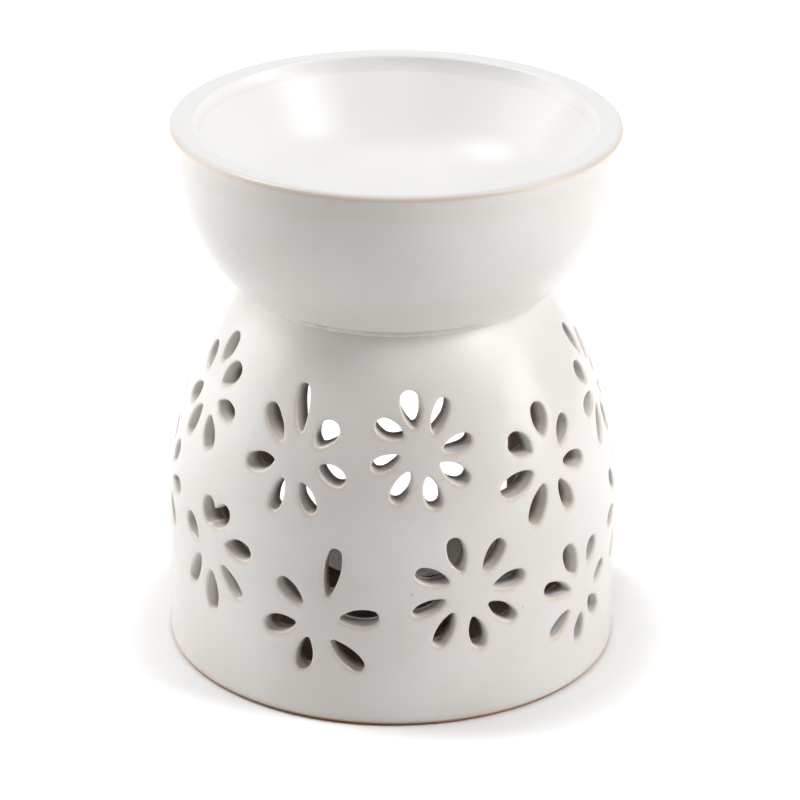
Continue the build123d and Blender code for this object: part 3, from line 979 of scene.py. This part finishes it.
def buildGlazeGroup():
    # satin glaze: broad clouds of thickness, a fine peel and scattered pinholes
    inputs = {"Cloud Scale": 45.0, "Peel Scale": 900.0, "Pinhole Scale": 420.0, "Pinhole Share": 0.5}
    group, given, out = newGroup("glazeSurface", inputs, ("Cloud", "Pinholes", "Height"))
    place, peel = objectPlace(group), given["Peel Scale"]
    cloud = noise(group, place, given["Cloud Scale"], 3, 0.55)
    fine = noise(group, place, peel, 2, 0.6)
    swell = noise(group, place, times(group, peel, 0.16), 2, 0.5)
    inputs = {"Vector": place, "Scale": given["Pinhole Scale"]}
    cells = addNode(group, "ShaderNodeTexVoronoi", None, inputs).outputs["Distance"]
    chosen = remap(group, noise(group, place, 260.0, 2, 0.5), 0.66, 0.72)
    pinholes = times(group, times(group, remap(group, cells, 0.16, 0.07), chosen), given["Pinhole Share"])
    height = plus(group, times(group, fine, 0.25), times(group, swell, 0.75))
    height = calc(group, "SUBTRACT", height, times(group, pinholes, 0.8))
    feed(group, out, {"Cloud": remap(group, cloud, 0.3, 0.7), "Pinholes": pinholes, "Height": height})
    return group


def buildEdgeGroup():
    # where glaze thins over an edge, the clay shows through in an uneven warm line
    group, given, out = newGroup("edgeBreak", {"Edge": 0.0, "Unevenness": 0.5, "Scale": 700.0}, ("Line",))
    place, edge = objectPlace(group), given["Edge"]
    grain = noise(group, place, given["Scale"], 3, 0.6)
    wide = noise(group, place, 120.0, 2, 0.5)
    both = plus(group, times(group, grain, 0.5), times(group, wide, 0.5))
    swing = times(group, calc(group, "SUBTRACT", both, 0.5), given["Unevenness"])
    shifted = plus(group, edge, times(group, swing, 1.6))
    line = times(group, remap(group, shifted, 0.1, 1.0), remap(group, edge, 0.0, 0.15))
    feed(group, out, {"Line": line})
    return group


def buildDrawnGroup():
    # fine lines that run one way: drawn foil, rolled steel, cotton threads
    inputs = {"Scale": (300.0, 300.0, 300.0), "Detail": 4.0, "Roughness": 0.6}
    group, given, out = newGroup("drawnLines", inputs, ("Lines",))
    inputs = {"Vector": objectPlace(group), "Scale": given["Scale"]}
    drawn = addNode(group, "ShaderNodeMapping", None, inputs).outputs["Vector"]
    feed(group, out, {"Lines": noise(group, drawn, 1.0, given["Detail"], given["Roughness"])})
    return group


glazeGroup = buildGlazeGroup()
edgeGroup = buildEdgeGroup()
drawnGroup = buildDrawnGroup()


def startMaterial(name):
    material = bpy.data.materials.new(name)
    material.use_nodes = True
    tree = material.node_tree
    return material, tree, tree.nodes["Principled BSDF"]


def useGroup(tree, group, inputs):
    return addNode(tree, "ShaderNodeGroup", {"node_tree": group}, inputs).outputs


def coat(tree, shader, colour, rough, height, bump):
    # what every finish varies: its colour, its roughness and a bump of a strength and a depth
    inputs = {"Height": height, "Strength": bump[0], "Distance": bump[1] * mm}
    normal = addNode(tree, "ShaderNodeBump", None, inputs).outputs["Normal"]
    feed(tree, shader, {"Base Color": colour, "Roughness": rough, "Normal": normal})


# satin white glaze, shared by chamber, slip and bowl with their own edges
glazeLook = {
    "white": paint(240, 237, 233),
    "thin": paint(234, 230, 225),
    "warm": paint(216, 186, 150),
    "pinhole": paint(176, 160, 140),
    "lining": paint(142, 116, 101),
    "liningPale": paint(168, 141, 126),
    "clay": paint(206, 184, 158),
    "clayDark": paint(188, 164, 138),
    # bare foot edge, painted darker than the clay as contact shade
    "footLineAndShade": paint(140, 86, 44),
    # painted shade inside the cuts, where little light reaches
    "cutPaintedShade": paint(122, 104, 93),
    # painted light on the bowl's up-facing inside
    "paintedTopLight": paint(247, 246, 244),
    "slip": paint(226, 214, 200),
    "rimBand": paint(222, 210, 198),
    "cutLine": 0.55,  # how strongly the clay shows through at the cuts, and at the rim
    "rimLine": 0.45,
    "paintedShadeFrom": (0.3, 0.85),  # shares of the wall's depth between which painted shade darkens a cut
    "liningFrom": (0.85, 1.05),
    "roughness": (0.285, 0.35),
    "slipRoughness": (0.3, 0.4),
    "bump": (0.2, 0.06),
    "slipBump": (0.5, 0.15),
}


def glazeColour(tree, surface):
    colour = mixColour(tree, surface["Cloud"], glazeLook["thin"], glazeLook["white"])
    return mixColour(tree, surface["Pinholes"], colour, glazeLook["pinhole"])


def chamberMaterial():
    material, tree, shader = startMaterial("chamberGlaze")
    look, place = glazeLook, objectPlace(tree)
    surface = useGroup(tree, glazeGroup, {"Cloud Scale": 38.0, "Pinhole Share": 0.5})
    edge = {"Edge": surfaceMask(tree, "cutEdge"), "Unevenness": 0.6}
    line = times(tree, useGroup(tree, edgeGroup, edge)["Line"], look["cutLine"])
    colour = mixColour(tree, line, glazeColour(tree, surface), look["warm"])

    # through the wall, painted shade deepens raggedly into each cut, down to the unglazed lining
    swing = calc(tree, "SUBTRACT", noise(tree, place, 320.0), 0.5)
    ragged = plus(tree, surfaceMask(tree, "wallDepth"), times(tree, swing, 0.3))
    shade = times(tree, remap(tree, ragged, *look["paintedShadeFrom"]), 0.9)
    colour = mixColour(tree, shade, colour, look["cutPaintedShade"])
    inside = remap(tree, ragged, *look["liningFrom"])
    clouds = remap(tree, noise(tree, place, 90.0, 5), 0.35, 0.65)
    colour = mixColour(tree, inside, colour, mixColour(tree, clouds, look["lining"], look["liningPale"]))
    # white glaze on the lower inner lips, partly real glaze and partly a painted highlight
    lip = surfaceMask(tree, "lowerLipGlazeAndHighlight")
    colour = mixColour(tree, lip, colour, look["white"])
    inside = calc(tree, "SUBTRACT", inside, times(tree, lip, 0.8))

    # bare clay under the foot
    bare = surfaceMask(tree, "bareClay")
    specks = remap(tree, noise(tree, place, 1500.0, 3), 0.4, 0.7)
    colour = mixColour(tree, bare, colour, mixColour(tree, specks, look["clay"], look["clayDark"]))
    # the unglazed foot edge, painted darker than bare clay as the shade where the foot meets the floor
    colour = mixColour(tree, surfaceMask(tree, "footLineAndShade"), colour, look["footLineAndShade"])
    rough = remap(tree, surface["Cloud"], 0.0, 1.0, *look["roughness"])
    rough = plus(tree, plus(tree, rough, times(tree, inside, 0.45)), times(tree, bare, 0.5))
    grit = times(tree, calc(tree, "MAXIMUM", inside, bare), noise(tree, place, 1100.0, 4, 0.7))
    height = plus(tree, surface["Height"], times(tree, grit, 1.2))
    coat(tree, shader, colour, rough, height, look["bump"])
    return material


def slipMaterial():
    material, tree, shader = startMaterial("slipGlaze")
    look = glazeLook
    surface = useGroup(tree, glazeGroup, {"Cloud Scale": 160.0, "Peel Scale": 700.0, "Pinhole Share": 0.2})
    thin = remap(tree, noise(tree, objectPlace(tree), 240.0), 0.55, 0.8)
    colour = mixColour(tree, thin, glazeColour(tree, surface), look["slip"])
    rough = remap(tree, surface["Cloud"], 0.0, 1.0, *look["slipRoughness"])
    coat(tree, shader, colour, rough, surface["Height"], look["slipBump"])
    return material


def bowlMaterial():
    material, tree, shader = startMaterial("bowlGlaze")
    look = glazeLook
    surface = useGroup(tree, glazeGroup, {"Cloud Scale": 30.0, "Peel Scale": 800.0, "Pinhole Share": 0.35})
    # painted light: the up-facing inside is painted whiter
    colour = mixColour(tree, surfaceMask(tree, "paintedTopLight"), glazeColour(tree, surface), look["paintedTopLight"])
    band = times(tree, surfaceMask(tree, "rimBand"), 0.25)
    colour = mixColour(tree, band, colour, look["rimBand"])
    edge = {"Edge": surfaceMask(tree, "rimEdge"), "Unevenness": 0.5, "Scale": 300.0}
    line = times(tree, useGroup(tree, edgeGroup, edge)["Line"], look["rimLine"])
    colour = mixColour(tree, line, colour, look["warm"])
    rough = remap(tree, surface["Cloud"], 0.0, 1.0, *look["roughness"])
    coat(tree, shader, colour, rough, surface["Height"], look["bump"])
    return material


# finishes of the tealight: two colours, the range of the roughness, and the bump's strength and depth
foilLook = {
    "colours": (paint(188, 190, 194), paint(212, 213, 215)),
    "roughness": (0.22, 0.38),
    "bump": (0.3, 0.05),
    "lines": (160.0, 160.0, 2600.0),
}
waxLook = {
    "colours": (paint(240, 237, 228), paint(228, 223, 212)),
    "roughness": (0.38, 0.55),
    "bump": (0.35, 0.08),
}
wickLook = {
    "colours": (paint(196, 188, 172), paint(240, 236, 226)),
    "roughness": (0.9, 0.6),
    "bump": (0.6, 0.06),
    "lines": (4200.0, 4200.0, 900.0),
}
tabLook = {
    "colours": (paint(158, 160, 163), paint(190, 192, 194)),
    "roughness": (0.3, 0.45),
    "bump": (0.3, 0.03),
    "lines": (300.0, 4000.0, 300.0),
}


def foilMaterial():
    material, tree, shader = startMaterial("tealightFoil")
    look = foilLook
    lines = useGroup(tree, drawnGroup, {"Scale": look["lines"], "Detail": 5.0})["Lines"]
    smear = noise(tree, objectPlace(tree), 220.0, 3)
    colour = mixColour(tree, smear, *look["colours"])
    shader.inputs["Metallic"].default_value = 1.0
    rough = plus(tree, remap(tree, smear, 0.3, 0.7, *look["roughness"]), times(tree, lines, 0.1))
    coat(tree, shader, colour, rough, plus(tree, lines, times(tree, smear, 1.5)), look["bump"])
    return material


def waxMaterial():
    material, tree, shader = startMaterial("paraffinWax")
    look, place = waxLook, objectPlace(tree)
    frost = noise(tree, place, 170.0, 5, 0.6)
    crystal = noise(tree, place, 900.0, 3, 0.6)
    shader.inputs["Subsurface Weight"].default_value = 0.6
    shader.inputs["Subsurface Radius"].default_value = (1.0, 0.8, 0.6)
    shader.inputs["Subsurface Scale"].default_value = 0.003
    colour = mixColour(tree, frost, *look["colours"])
    rough = remap(tree, crystal, 0.3, 0.7, *look["roughness"])
    coat(tree, shader, colour, rough, plus(tree, times(tree, frost, 0.8), crystal), look["bump"])
    return material


def linedMaterial(name, look, metallic, grain):
    # a finish that is all fine lines: the wick's threads, the tab's rolled steel
    material, tree, shader = startMaterial(name)
    lines = useGroup(tree, drawnGroup, {"Scale": look["lines"], "Roughness": grain})["Lines"]
    shader.inputs["Metallic"].default_value = metallic
    rough = remap(tree, lines, 0.3, 0.7, *look["roughness"])
    coat(tree, shader, mixColour(tree, lines, *look["colours"]), rough, lines, look["bump"])
    return material


# pieces on their bodies
def dress(piece, body, slot, *nodes):
    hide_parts(*nodes)
    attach(piece, body)


dress(makeChamber(chamberMaterial()), "burner", "body_glaze", "burner_body")
dress(makeSlip(slipMaterial()), "burner", "slip_glaze", "joint_slip")
dress(makeBowl(bowlMaterial()), "burner", "bowl_glaze", "oil_bowl")
dress(makeCup(foilMaterial()), "tealight", "tealight_foil", "tealight_cup")
dress(makeWax(waxMaterial()), "tealight", "wax", "tealight_wax")
cotton = linedMaterial("wickCotton", wickLook, 0.0, 0.65)
dress(makeWick(cotton), "tealight", "wick_cotton", "tealight_wick")
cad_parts["wick_tab"].material_slots[0].material = linedMaterial("tabSteel", tabLook, 1.0, 0.6)
print("pieces dressed")


# floor, lamps and white background
stageSetup = {
    "floorSize": 8.0,
    "floorColour": paint(240, 240, 240),  # what lights the burner from below
    "seenFloorAndPaintedShade": (1.08, 1.7, 2.6),  # what the camera sees of it: lower close by as painted shade round the base, rising to white round about and far off
    "seenReach": (0.054, 0.075, 0.5),
    "worldColour": (1.0, 1.0, 1.0, 1.0),
    "worldStrength": 0.0,
    "lampAim": (0, 0, 0.07),
}
# lamps: degrees round the burner from the back towards the right, and degrees above level
lamps = {
    "rightLow": {"azimuth": 98, "elevation": 14, "distance": 1.3, "size": (0.5, 0.5), "power": 5.2},
    "rightHigh": {"azimuth": 110, "elevation": 42, "distance": 1.3, "size": (0.4, 0.5), "power": 7.0},
    "leftLow": {"azimuth": -80, "elevation": 15, "distance": 1.3, "size": (1.0, 0.9), "power": 8.6},
    "leftHigh": {"azimuth": -74, "elevation": 52, "distance": 1.3, "size": (0.4, 0.5), "power": 6.0},
    "front": {"azimuth": 180, "elevation": 50, "distance": 1.3, "size": (0.5, 0.5), "power": 1.6},
    "top": {"azimuth": 0, "elevation": 80, "distance": 1.5, "size": (0.8, 0.8), "power": 2.6},
}


def seenRays(tree):
    # 1 for what the camera sees straight or in gloss or glass, 0 for light on the burner
    paths = addNode(tree, "ShaderNodeLightPath").outputs
    indirect = calc(tree, "MAXIMUM", paths["Is Glossy Ray"], paths["Is Transmission Ray"])
    return calc(tree, "MAXIMUM", paths["Is Camera Ray"], indirect)


def makeFloor():
    size = stageSetup["floorSize"] / 2
    corners = [(-size, -size, 0), (size, -size, 0), (size, size, 0), (-size, size, 0)]
    mesh = bpy.data.meshes.new("floor")
    mesh.from_pydata(corners, [], [(0, 1, 2, 3)])
    floor = bpy.data.objects.new("floor", mesh)
    bpy.context.scene.collection.objects.link(floor)
    material, tree, shader = startMaterial("floorPaper")
    tree.nodes.remove(shader)
    inputs = {"Vector": objectPlace(tree)}
    away = addNode(tree, "ShaderNodeVectorMath", {"operation": "LENGTH"}, inputs).outputs["Value"]
    (close, around, far), (start, middle, end) = stageSetup["seenFloorAndPaintedShade"], stageSetup["seenReach"]
    # the seen floor is darker close to the burner as painted shade, and white further off
    white = remap(tree, away, start, middle, close, around)
    white = plus(tree, white, remap(tree, away, middle, end, 0.0, far - around))
    colour = mixColour(tree, seenRays(tree), stageSetup["floorColour"], white)
    diffuse = addNode(tree, "ShaderNodeBsdfDiffuse", None, {"Color": colour})
    tree.links.new(diffuse.outputs[0], tree.nodes["Material Output"].inputs["Surface"])
    mesh.materials.append(material)


def addLamp(name, setup):
    data = bpy.data.lights.new(name, "AREA")
    data.shape = "RECTANGLE"
    data.size, data.size_y = setup["size"]
    data.energy = setup["power"]
    lamp = bpy.data.objects.new(name, data)
    turn, lift = math.radians(setup["azimuth"]), math.radians(setup["elevation"])
    away = Vector((math.sin(turn) * math.cos(lift), math.cos(turn) * math.cos(lift), math.sin(lift)))
    place = Vector(stageSetup["lampAim"]) + away * setup["distance"]
    lamp.matrix_world = Matrix.Translation(place) @ away.to_track_quat("Z", "Y").to_matrix().to_4x4()
    bpy.context.scene.collection.objects.link(lamp)


def makeWorld():
    world = bpy.data.worlds.new("studio")
    world.use_nodes = True
    bpy.context.scene.world = world
    tree = world.node_tree
    strength = remap(tree, seenRays(tree), 0.0, 1.0, stageSetup["worldStrength"], 1.0)
    feed(tree, tree.nodes["Background"], {"Color": stageSetup["worldColour"], "Strength": strength})


makeFloor()
makeWorld()
for name, setup in lamps.items():
    addLamp(name, setup)
bpy.context.scene.view_settings.view_transform = "Standard"
print("stage lit")
